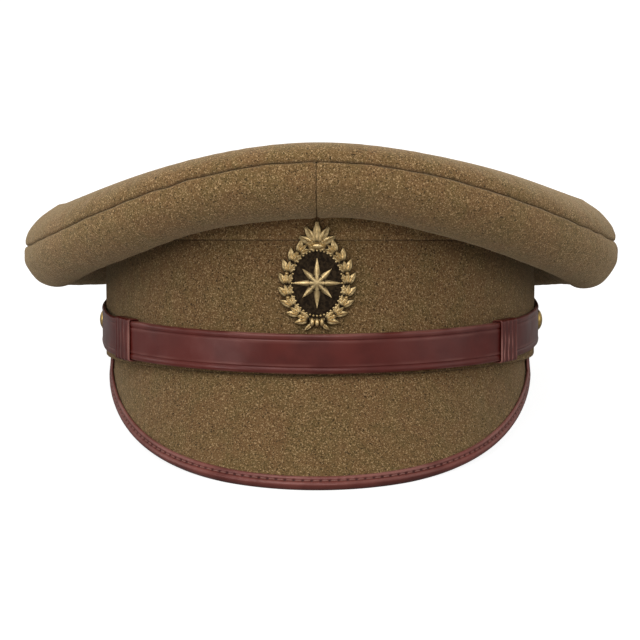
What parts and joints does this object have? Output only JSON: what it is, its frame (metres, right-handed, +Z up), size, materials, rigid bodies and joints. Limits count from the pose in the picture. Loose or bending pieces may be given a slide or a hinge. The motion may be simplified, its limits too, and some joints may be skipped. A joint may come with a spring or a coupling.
{
  "type": "peaked cap",
  "caption": "Officer-style peaked cap: wide rolled crown high in front, upright oval band, sloping bound peak, leather chin strap with side buttons, and a badge on the band.",
  "frame": {"origin": "on the table under the middle of the bounding box, with the cap resting on the toe of its peak and the back of its band", "axes": "+Z up, -Y towards the peak, +X to the right as the cap is seen from the front"},
  "size_m": [0.2548, 0.2758, 0.1337],
  "materials": {
    "khaki_wool": "matt milled wool cloth, khaki brown flecked with lighter and darker fibres",
    "brown_leather": "polished red-brown leather with a soft gloss and creased edges",
    "button_brass": "polished brass",
    "badge_bronze": "antique bronze, dark in the hollows and bright on the raised edges"
  },
  "bodies": {
    "root": {"band": "khaki_wool", "crown_side_left": "khaki_wool", "crown_side_right": "khaki_wool", "crown_top": "khaki_wool", "peak": "khaki_wool", "peak_binding": "brown_leather", "chin_strap_upper": "brown_leather", "chin_strap_lower": "brown_leather", "strap_slide_left": "brown_leather", "strap_slide_right": "brown_leather", "button_left": "button_brass", "button_right": "button_brass", "badge": "badge_bronze"}
  },
  "joints": []
}
